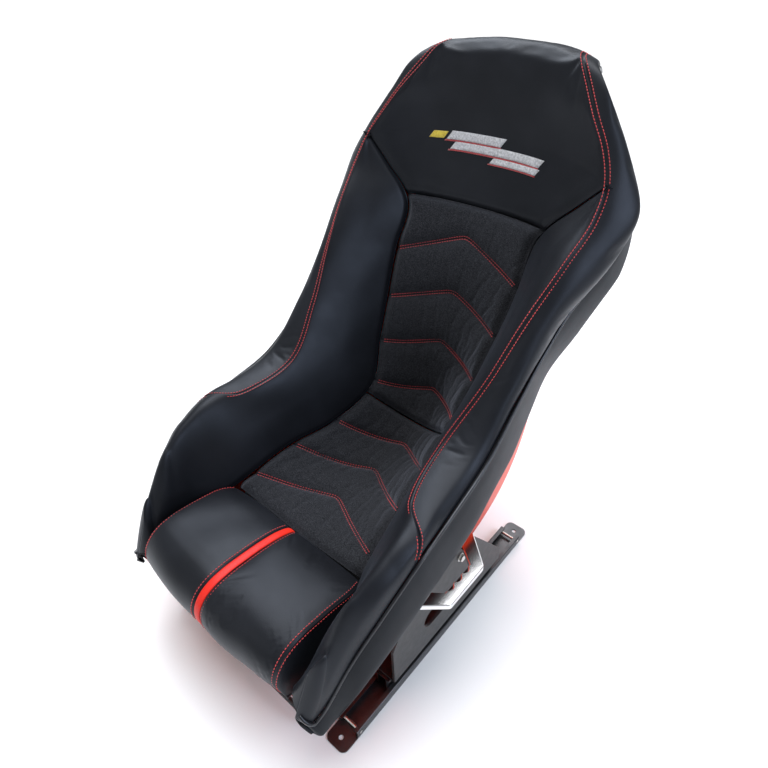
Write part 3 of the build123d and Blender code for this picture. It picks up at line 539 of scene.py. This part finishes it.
def pad(surface, across, along, towards, counts, slack=0.002, held=None, limit=4.0):
    """Cloth simulation of a cover pulled over padding: how far each point of the fine grid moves.

    The cover is a sheet a little larger than its panel, held at its seams and pushed out from
    inside.  held(grid, across, along) adds inner seams."""
    a = np.linspace(across[0], across[-1], counts[0])
    t = np.linspace(along[0], along[-1], counts[1])
    grid = surface(a, t)
    normal = normals_of(grid, towards)
    m, n = counts
    index = np.arange(m * n).reshape(m, n)
    quads = grid_quads(grid, normal)[0]
    seams = np.zeros((m, n), bool)
    seams[0], seams[-1], seams[:, 0], seams[:, -1] = True, True, True, True
    if held:
        seams |= held(grid, a, t)
    mesh = bpy.data.meshes.new("cloth")
    mesh.from_pydata((grid.reshape(-1, 3) * MM).tolist(), [], quads.tolist())
    cover = bpy.data.objects.new("cloth", mesh)
    scene = bpy.context.scene
    scene.collection.objects.link(cover)
    cover.vertex_groups.new(name="seams").add(index[seams].tolist(), 1.0, "REPLACE")
    cloth = cover.modifiers.new("cloth", "CLOTH")
    settings = cloth.settings
    settings.quality = 5
    settings.mass = 0.2
    settings.tension_stiffness = settings.compression_stiffness = 12
    settings.shear_stiffness = 4
    settings.bending_stiffness = 0.4
    settings.use_pressure = True
    settings.uniform_pressure_force = 4
    settings.shrink_min = -slack
    settings.vertex_group_mass = "seams"
    settings.effector_weights.gravity = 0
    cloth.point_cache.frame_end = 20
    for number in range(1, 21):
        scene.frame_set(number)
    result = cover.evaluated_get(bpy.context.evaluated_depsgraph_get()).to_mesh()
    co = np.zeros(m * n * 3)
    result.vertices.foreach_get("co", co)
    bpy.data.objects.remove(cover)
    scene.frame_set(1)
    shift = co.reshape(grid.shape) / MM - grid
    size = np.linalg.norm(shift, axis=-1, keepdims=True)
    shift *= np.tanh(size / limit) * limit / np.maximum(size, 1e-6)
    fine = surface(across, along)
    near = np.minimum(np.minimum(*edge_distance(fine, 0)), np.minimum(*edge_distance(fine, 1)))
    return spread_over(shift, a, t, across, along) * (1 - np.exp(-(near / 12) ** 2))[..., None]


def build_bolster(side, label):
    # inner panel, from the insert edge to the red seam
    def inner_surface(across, along):
        def section(stations):
            return through(bolster_controls(stations),
                           across[:, None] * seam_index(stations)[None, :])
        return nosed(section)(along)

    station = nose_stations(SHOULDER, (SHOULDER,))
    across = crowded(64)
    inner = inner_surface(across, station)
    normal = normals_of(inner, AXIS)
    inner = inner + PADDED["inner"](inner_surface, across, station, AXIS)
    low, high = edge_distance(inner, 0)
    front, back = edge_distance(inner, 1)
    lift = (groove(low, 6, 7) * (station > TUCKED_FROM) + groove(high, 2.4, 2.6)
            + groove(back, 2.5, 4) + ripple(inner, 0.7))
    inner = inner + normal * lift[..., None]
    piece = slab(f"bolster_cover_{label}", mirrored(inner, side), mirrored(normal, side),
                 SHEET, LEATHER)
    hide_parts(f"bolster_{label}")

    # outer panel, from the red seam to the piping, up and over the head
    def outer_surface(across, along):
        controls = np.stack([smooth(rail, along) for rail in (CREST, BULGE, RIM)])
        start = np.clip(seam_index(along) - 2, 0, 1.999)
        return through(controls, start[None, :] + across[:, None] * (2 - start)[None, :])

    station = crowd_at(SEAM_ENDS + 0.05, BACK_END, (SEAM_ENDS, BACK_END), 0.55, 0.12)
    across = crowded(46)
    outer = outer_surface(across, station)
    normal = normals_of(outer, OUTSIDE)
    outer = outer + PADDED["outer"](outer_surface, across, station, OUTSIDE)
    low, high = edge_distance(outer, 0)
    tip = np.clip((low + high) / 20, 0, 1)
    lift = (groove(low, 2.4, 2.6) + groove(high, 3.0, 3.5) + ripple(outer, 0.6)) * tip
    outer = outer + normal * lift[..., None]
    piece = slab(f"side_panel_{label}", mirrored(outer, side), mirrored(normal, side),
                 SHEET, LEATHER)

    # red double stitching beside the crest seam
    station = np.linspace(SEAM_ENDS + 1.5, BACK_END - 2, 700)
    controls = np.stack([smooth(rail, station) for rail in (CREST, BULGE, RIM)])
    start = np.clip(seam_index(station) - 2, 0, 1.999)
    seam = through(controls, start[None, :])[0]
    beside = through(controls, np.minimum(start + 0.06, 2)[None, :])[0]
    along = np.gradient(seam, axis=0)
    along /= np.linalg.norm(along, axis=1, keepdims=True)
    across = beside - seam
    across -= along * (across * along).sum(axis=1, keepdims=True)
    across /= np.linalg.norm(across, axis=1, keepdims=True) + 1e-9
    up = np.cross(across, along)
    up *= np.sign((up * (np.array((150.0, -400.0, 1100.0)) - seam)).sum(axis=1, keepdims=True))
    rows = [(mirrored(seam + across * offset + up * 0.25, side), mirrored(up, side))
            for offset in (-STITCH_OFFSET, STITCH_OFFSET)]
    piece = stitches(f"crest_stitching_{label}", rows, THREAD)


def once(counts, slack):
    """A cover simulated for the left side and reused, mirrored, on the right."""
    kept = []

    def shift(surface, across, along, towards):
        if not kept:
            kept.append(pad(surface, across, along, towards, counts, slack))
        return kept[0]

    return shift


PADDED = {"inner": once((36, 150), 0.0015), "outer": once((24, 170), 0.0)}
for side, label in ((1, "left"), (-1, "right")):
    build_bolster(side, label)

# ---- headrest -------------------------------------------------------------------------------
def dished(edge, centre, q, share):
    """Points between a centre line and both edges: share is how far each is from the centre."""
    y = centre[..., 1] + (edge[..., 1] - centre[..., 1]) * share
    z = centre[..., 2] + (edge[..., 2] - centre[..., 2]) * share
    return np.stack([edge[..., 0] * q, y, z], axis=-1)


def head_surface(station, q):
    """Points of the headrest face: q is -1 and 1 at its side seams, 0 on the centre."""
    edge = np.where((station < SHOULDER)[..., None], smooth(EDGE, np.minimum(station, SHOULDER)),
                    smooth(CREST, station))
    centre = smooth(CENTRE, station)
    share = np.abs(q) ** 2.6
    return dished(edge, centre, q, share)


def build_headrest():
    def surface(across, along):
        q, t = np.meshgrid(across, along, indexing="ij")
        return head_surface(t, q)

    station = crowd_at(YOKE, BACK_END, (YOKE, BACK_END), 0.4, 0.1)
    across = 2 * crowded(130) - 1
    grid = surface(across, station)
    towards = (0.0, -800.0, 1300.0)
    normal = normals_of(grid, towards)
    shift = pad(surface, across, station, towards, (70, 80), 0.001)
    grid = grid + shift
    left, right = edge_distance(grid, 0)
    low, high = edge_distance(grid, 1)
    lift = (groove(np.minimum(left, right), 2.4, 3) + groove(low, 5, 5) + groove(high, 3, 4)
            + ripple(grid, 0.8))
    grid = grid + normal * lift[..., None]
    piece = slab("headrest_cover", grid, normal, SHEET, LEATHER)
    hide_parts("headrest_cushion")

    def moved(t, q):
        i = np.interp(q, across, np.arange(len(across))).round().astype(int)
        j = np.interp(t, station, np.arange(len(station))).round().astype(int)
        return shift[i, j]

    return moved


head_moved = build_headrest()

# ---- inserts --------------------------------------------------------------------------------
def insert_point(station, q):
    """Points of the dished insert: q is -1 and 1 at its edges."""
    return dished(smooth(EDGE, station), smooth(CENTRE, station), q, np.abs(q) ** 2.2)


def chevron_station(chevron, q):
    """Station of a chevron seam at a share of the half-width, with a rounded peak."""
    peak, end = chevron
    tip = 0.07
    share = (np.sqrt(q * q + tip * tip) - tip) / (np.sqrt(1 + tip * tip) - tip)
    return peak + (end - peak) * share


def build_insert(name, first, last, chevrons):
    def surface(across, along):
        q, t = np.meshgrid(across, along, indexing="ij")
        return insert_point(t, q)

    def from_chevrons(grid, across, along):
        """Distance of each point from the nearest chevron seam."""
        q, t = np.meshgrid(across, along, indexing="ij")
        run = np.linalg.norm(np.gradient(grid, axis=1), axis=-1) / np.gradient(along)[None, :]
        nearest = np.full(grid.shape[:2], 1e9)
        for chevron in chevrons:
            line = chevron_station(chevron, q)
            half = smooth(EDGE, line)[..., 0]
            slant = np.gradient(line, axis=0) / np.gradient(across)[:, None] / half
            away = np.abs(t - line) * run / np.sqrt(1 + (slant * run) ** 2)
            nearest = np.minimum(nearest, away)
        return nearest

    def held(grid, across, along):
        return from_chevrons(grid, across, along) < 3.0

    station = np.linspace(first, last, 300)
    across = 2 * crowded(150, 0.55, 0.55) - 1
    grid = surface(across, station)
    normal = normals_of(grid, AXIS)
    nearest = from_chevrons(grid, across, station)
    grid = grid + pad(surface, across, station, AXIS, (80, 110), 0.004, held, 4.0)
    sides = np.minimum(*edge_distance(grid, 0))
    ends = np.minimum(*edge_distance(grid, 1))
    puff = 7.0 * (1 - np.exp(-(nearest / 11) ** 1.25)) + groove(nearest, 1.6, 1.5)
    lift = puff + groove(sides, 9, 8) + groove(ends, 8, 7) + ripple(grid, 0.5)
    grid = grid + normal * lift[..., None]
    piece = slab(f"{name}_cover", grid, normal, SHEET, SUEDE)
    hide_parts(name)

    rows = []
    share = np.linspace(-0.97, 0.97, 260)
    for chevron in chevrons:
        line = chevron_station(chevron, share)
        seam = insert_point(line, share)
        up = normals_of(insert_point(line[None, :] + np.array([[-0.4], [0.4]]),
                                     np.stack([share, share])), AXIS)[0]
        along = np.gradient(seam, axis=0)
        along /= np.linalg.norm(along, axis=1, keepdims=True)
        beside = np.cross(up, along)
        for offset in (-2.6, 2.6):
            rows.append((seam + beside * offset + up * 0.8, up))
    piece = stitches(f"{name}_stitching", rows, THREAD, radius=0.65)


build_insert("back_insert", CREASE + 0.2, YOKE - 0.1, BACK_CHEVRONS)
build_insert("seat_insert", -95.2, CREASE - 0.2, SEAT_CHEVRONS)

# ---- thigh cushion --------------------------------------------------------------------------
THIGH_HALF = 178.0
STRIPE_HALF = 7.5
THIGH_LAST = 15.0


def thigh_point(u, x):
    """Top of the thigh cushion: u runs from the rear seam, over the lip, to below it."""
    centre = smooth(THIGH, u)
    half = THIGH_HALF - 16 * np.clip(1 - u / 3, 0, 1) ** 2
    q = x / THIGH_HALF
    front = np.clip((u - 4) / 6, 0, 1)
    y = centre[..., 1] + 13 * q ** 2 * front
    z = centre[..., 2] - 6 * np.abs(q) ** 3
    return np.stack([x * half / THIGH_HALF, y, z], axis=-1)


def build_thigh():
    def surface(across, along):
        x, t = np.meshgrid(across, along, indexing="ij")
        return thigh_point(t, x)

    outside = (0.0, -900.0, 900.0)
    u = np.linspace(0, THIGH_LAST, 210)
    stitching = []
    for side, label in ((1, "left"), (-1, "right")):
        x = side * (STRIPE_HALF + (THIGH_HALF - STRIPE_HALF) * crowded(90))
        grid = surface(x, u)
        normal = normals_of(grid, outside)
        grid = grid + pad(surface, x, u, outside, (40, 80), 0.002)
        middle, edge = edge_distance(grid, 0)
        rear = rows_apart(grid, 1)
        lift = (2.5 * (1 - np.exp(-middle / 14)) * (1 - np.exp(-edge / 16))
                + groove(middle, 2.2, 2.4) + groove(edge, 2.2, 2.4) + groove(rear, 8, 8)
                + ripple(grid, 0.7))
        grid = grid + normal * lift[..., None]
        piece = slab(f"thigh_cover_{label}", grid, normal, SHEET, LEATHER)
        if side > 0:
            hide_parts("thigh_cushion")

        # side gusset below the side seam
        drop = np.linspace(0, 1, 24)
        dd, uu = np.meshgrid(drop, u[8:], indexing="ij")
        top = thigh_point(uu, np.full_like(uu, side * THIGH_HALF))
        depth = 92 * np.clip((top[..., 2] - 165) / 85, 0.02, 1)
        gusset = top.copy()
        gusset[..., 0] += side * (3.5 * np.sin(np.pi * dd) + 9 * dd * dd)
        gusset[..., 2] -= depth * dd
        gusset[..., 1] += 0.25 * depth * dd * np.clip((uu - 9) / 4, 0, 1)
        out = normals_of(gusset, (side * 2000.0, -200.0, 200.0))
        run = rows_apart(gusset, 0)
        gusset = gusset + out * (groove(run, 2.0, 2.2) + ripple(gusset, 0.5))[..., None]
        piece = slab(f"thigh_gusset_{label}", gusset, out, SHEET, LEATHER)

        # stitch rows beside the stripe and on both sides of the side seam
        for inset in (THIGH_HALF - STRIPE_HALF - 6.0, 5.5):
            line = np.linspace(0.8, THIGH_LAST - 0.5, 260)
            xs = np.full_like(line, side * (THIGH_HALF - inset))
            points = thigh_point(line, xs)
            near = thigh_point(line, xs - side * 4)
            along = np.gradient(points, axis=0)
            up = np.cross(along, near - points)
            up /= np.linalg.norm(up, axis=1, keepdims=True)
            up *= np.sign((up * (np.array(outside) - points)).sum(axis=1, keepdims=True))
            stitching.append((points + up * 0.9, up))
        line = np.linspace(1.5, THIGH_LAST - 0.5, 260)
        points = thigh_point(line, np.full_like(line, side * THIGH_HALF))
        points[:, 2] -= 5.5
        points[:, 0] += side * 0.9
        stitching.append((points, np.tile((side * 1.0, 0.0, 0.0), (len(line), 1))))
    piece = stitches("thigh_stitching", stitching, THREAD)

    x = np.linspace(-STRIPE_HALF, STRIPE_HALF, 17)
    xx, uu = np.meshgrid(x, u, indexing="ij")
    grid = thigh_point(uu, xx)
    normal = normals_of(grid, outside)
    lift = 1.6 * (1 - (np.abs(xx) / STRIPE_HALF) ** 4) - 0.8 + groove(rows_apart(grid, 1), 8, 8)
    grid = grid + normal * lift[..., None]
    piece = slab("stripe_cover", grid, normal, SHEET, RED)
    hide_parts("centre_stripe")


build_thigh()

# ---- piping and boxing ----------------------------------------------------------------------
CORD_RADIUS = 3.0
CORD_LOW, TOE_LOW = 564.0, 567.0  # reach of the piping and of the toe below the nose
BAND_WIDTH = (
    (-114.5, 16), (-112, 44), (-109, 74), (-105, 88), (-100, 89), (-95, 87), (-80, 82),
    (-70, 84), (-60, 98),
    (-50, 124), (-40, 132), (-30, 130), (-20, 116), (-10, 90), (0, 70), (8, 56), (14, 46),
    (20.5, 40),
)
BAND_FLARE = (
    (-114.5, 24), (-110, 27), (-100, 26), (-90, 25), (-75, 22), (-60, 15), (-45, 10), (-20, 10),
    (0, 8), (20.5, 5),
)


def band_section(station):
    """Padded boxing strip below the piping: control curves from the rim to its lower edge."""
    rim, base = smooth(RIM, station), smooth(BASE, station)
    wide, flare = smooth(BAND_WIDTH, station), smooth(BAND_FLARE, station)
    down = base - rim
    depth = np.linalg.norm(down, axis=1, keepdims=True)
    down = down / depth
    along = np.gradient(rim, axis=0)
    out = np.cross(down, along)
    out /= np.linalg.norm(out, axis=1, keepdims=True)
    out *= np.sign(out[:, :1])
    wide = np.minimum(wide, 0.97 * depth)
    return np.stack([rim + down * 1.0 + out * 1.0,
                     rim + down * 0.30 * wide + out * (3 + 0.45 * flare),
                     rim + down * 0.68 * wide + out * (3 + 0.90 * flare),
                     rim + down * 0.93 * wide + out * (3 + 0.95 * flare),
                     rim + down * 1.00 * wide + out * (1 + 0.55 * flare),
                     rim + down * 0.97 * wide + out * -1.0])


def toe_point(turn, drop, low):
    """Lower end of a wing: turn runs around the nose from outside to inside, drop to its tip."""
    reach = low - 15 * (1 - np.cos(turn)) + 3 * np.sin(drop)
    angle = np.radians(NOSE_FROM + (NOSE_TO - NOSE_FROM) * np.sin(turn) * np.cos(drop))
    return np.stack([SPINE_X + 25 * np.cos(turn) * np.cos(drop), FAN_Y + reach * np.cos(angle),
                     FAN_Z + reach * np.sin(angle)], axis=-1)


def build_edges(side, label):
    station = np.linspace(NOSE_FROM, BACK_END, 620)
    rim = smooth(RIM, station)
    away = rim - smooth(BULGE, station)
    away /= np.linalg.norm(away, axis=1, keepdims=True)
    cord = rim + np.array((1.5, 0.0, 0.0)) + away * 2.0
    under = toe_point(np.linspace(0.12, 1.3, 14), 0.0, CORD_LOW)
    cord = np.concatenate([under[::-1], cord])
    piece = tube(f"piping_cord_{label}", mirrored(cord, side), CORD_RADIUS, PIPING)
    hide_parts(f"edge_piping_{label}")

    # the boxing follows the side of the shell and carries on around the nose
    station = np.linspace(NOSE_FROM, 20.5, 420)
    grid = through(band_section(station), np.linspace(0, 5, 60))
    turn = np.linspace(0.5 * np.pi, 0, 30)[None, :-1]
    first = grid[:, :1] - np.array(AXIS)
    reach = np.hypot(first[..., 1], first[..., 2]) - 15 * (1 - np.cos(turn))
    angle = np.arctan2(first[..., 2], first[..., 1])
    angle = angle + radians(NOSE_TO - NOSE_FROM) * np.sin(turn)
    half = first[..., 0] - SPINE_X
    nose = np.stack([SPINE_X + half * np.cos(turn), FAN_Y + reach * np.cos(angle),
                     FAN_Z + reach * np.sin(angle)], axis=-1)
    grid = np.concatenate([nose, grid], axis=1)
    normal = normals_of(grid, (1500.0, 100.0, 300.0))
    grid = grid + normal * ripple(grid, 0.5)[..., None]
    piece = slab(f"side_boxing_{label}", mirrored(grid, side), mirrored(normal, side),
                 SHEET, BOXING)
    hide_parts(f"side_band_{label}")

    # toe under the nose
    turn, drop = np.meshgrid(np.linspace(0, np.pi, 40), np.linspace(0, np.pi / 2, 16),
                             indexing="ij")
    toe = toe_point(turn, drop, TOE_LOW)
    normal = -normals_of(toe, (SPINE_X, -250.0, 220.0))
    piece = slab(f"wing_toe_{label}", mirrored(toe, side), mirrored(normal, side),
                 SHEET, BOXING)


for side, label in ((1, "left"), (-1, "right")):
    build_edges(side, label)

q = np.linspace(-1, 1, 160)
rear = head_surface(np.full_like(q, BACK_END - 0.3), q) + np.array((0.0, 2.0, -3.0))
piece = tube("piping_cord_rear", rear, CORD_RADIUS, PIPING)

# ---- emblem ---------------------------------------------------------------------------------
def emblem_patch(name, material, bars, rise):
    """Raised satin-stitch bars on the headrest: (centre x, half length, height low, high)."""
    vertices, faces = [], []
    for centre, half, low, high in bars:
        s = np.linspace(-1, 1, 22)
        h = np.linspace(0, 1, 8)
        ss, hh = np.meshgrid(s, h, indexing="ij")
        t = low + (high - low) * hh
        x = centre + half * ss + 7.0 * (t - 8.4)
        edge = np.where(t < SHOULDER, smooth(EDGE, t)[..., 0], smooth(CREST, t)[..., 0])
        grid = head_surface(t, x / edge)
        normal = normals_of(grid, (0.0, -800.0, 1300.0))
        grid = grid + head_moved(t, x / edge)
        pillow = (1 - ss ** 6) * (1 - (2 * hh - 1) ** 6)
        grid = grid + normal * (rise * 0.4 + rise * pillow)[..., None]
        m, n = grid.shape[:2]
        first = len(vertices)
        vertices.extend(grid.reshape(-1, 3))
        vertices.extend((grid - normal * (rise + 1.2)).reshape(-1, 3))
        index = first + np.arange(m * n).reshape(m, n)
        for i in range(m - 1):
            for j in range(n - 1):
                quad = (index[i, j], index[i + 1, j], index[i + 1, j + 1], index[i, j + 1])
                faces.append(quad)
                faces.append(tuple(k + m * n for k in quad[::-1]))
        rim = np.concatenate([index[:, 0], index[-1, 1:], index[-2::-1, -1], index[0, -2:0:-1]])
        for k, rim_vertex in enumerate(rim):
            after = rim[(k + 1) % len(rim)]
            faces.append((rim_vertex, rim_vertex + m * n, after + m * n, after))
    piece = new_object(name, np.array(vertices) * MM, [tuple(int(k) for k in f) for f in faces],
                       material)
    return piece


emblem = emblem_patch("emblem_silver", SILVER, [(-42, 58, 8.5, 10.0), (18, 96, 6.9, 8.3),
                                                (70, 50, 5.6, 6.7)], 1.2)
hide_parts("headrest_emblem")
emblem_patch("emblem_red", RED_SATIN, [(-42, 60, 8.2, 8.45), (18, 98, 6.6, 6.85),
                                               (70, 52, 5.35, 5.55)], 0.9)
emblem_patch("emblem_yellow", YELLOW_SATIN, [(-122, 15, 8.6, 9.8)], 1.0)

# ---- floor, light and camera ----------------------------------------------------------------
def build_stage():
    bpy.ops.mesh.primitive_plane_add(size=60, location=(0, 0, 0))
    floor = bpy.context.object
    floor.name = "floor"
    n = Nodes("studio_floor")
    n.link(n.ramp(n.noise(3, 2), (0.93, 0.93, 0.93), (0.95, 0.95, 0.95)),
           n.shader.inputs["Base Color"])
    n.set(Roughness=0.7)
    floor.data.materials.append(n.material)

    world = bpy.data.worlds.new("studio")
    bpy.context.scene.world = world
    world.use_nodes = True
    # the camera sees a white backdrop; the seat is lit by a dimmer one
    back = world.node_tree.nodes["Background"]
    back.inputs["Color"].default_value = (0.95, 0.97, 1.0, 1)
    rays = world.node_tree.nodes.new("ShaderNodeLightPath")
    level = world.node_tree.nodes.new("ShaderNodeMapRange")
    level.inputs["To Min"].default_value = 0.36
    level.inputs["To Max"].default_value = 1.0
    world.node_tree.links.new(rays.outputs["Is Camera Ray"], level.inputs["Value"])
    world.node_tree.links.new(level.outputs["Result"], back.inputs["Strength"])

    bpy.context.scene.view_settings.view_transform = "Standard"

    def area(name, place, aim, size, power, colour=(1, 1, 1)):
        light = bpy.data.lights.new(name, "AREA")
        light.shape = "RECTANGLE"
        light.size, light.size_y = size
        light.energy = power
        light.color = colour
        obj = bpy.data.objects.new(name, light)
        obj.location = place
        obj.rotation_euler = (Vector(aim) - Vector(place)).to_track_quat("-Z", "Y").to_euler()
        bpy.context.scene.collection.objects.link(obj)

    area("key", (-1.6, 1.0, 2.6), (0, 0.1, 0.5), (1.8, 1.4), 44, (0.86, 0.92, 1.0))
    area("fill", (2.4, 0.2, 2.0), (0, 0.1, 0.5), (1.4, 1.4), 42, (0.72, 0.82, 1.0))
    area("front", (-0.8, -2.4, 2.0), (0, 0.1, 0.4), (1.6, 1.0), 7)
    sun = bpy.data.objects.new("sun", bpy.data.lights.new("sun", "SUN"))
    sun.data.energy = 2.75
    sun.data.angle = radians(50)
    sun.rotation_euler = Vector((0.35, -0.45, -2.0)).to_track_quat("-Z", "Y").to_euler()
    bpy.context.scene.collection.objects.link(sun)


def build_camera():
    place = Vector((0.6008, -0.5180, 1.1069))
    target = Vector((0.0362, 0.0914, 0.4439))
    roll = -0.05206
    forward = (target - place).normalized()
    right = forward.cross(Vector((0, 0, 1))).normalized()
    up = right.cross(forward)
    right, up = (cos(roll) * right + sin(roll) * up, cos(roll) * up - sin(roll) * right)
    camera = bpy.data.objects.new("camera", bpy.data.cameras.new("camera"))
    camera.data.sensor_width = 36
    camera.data.lens = 28.0
    turn = Matrix((right, up, -forward)).transposed().to_4x4()
    camera.matrix_world = Matrix.Translation(place) @ turn
    bpy.context.scene.collection.objects.link(camera)
    bpy.context.scene.camera = camera


build_stage()
build_camera()
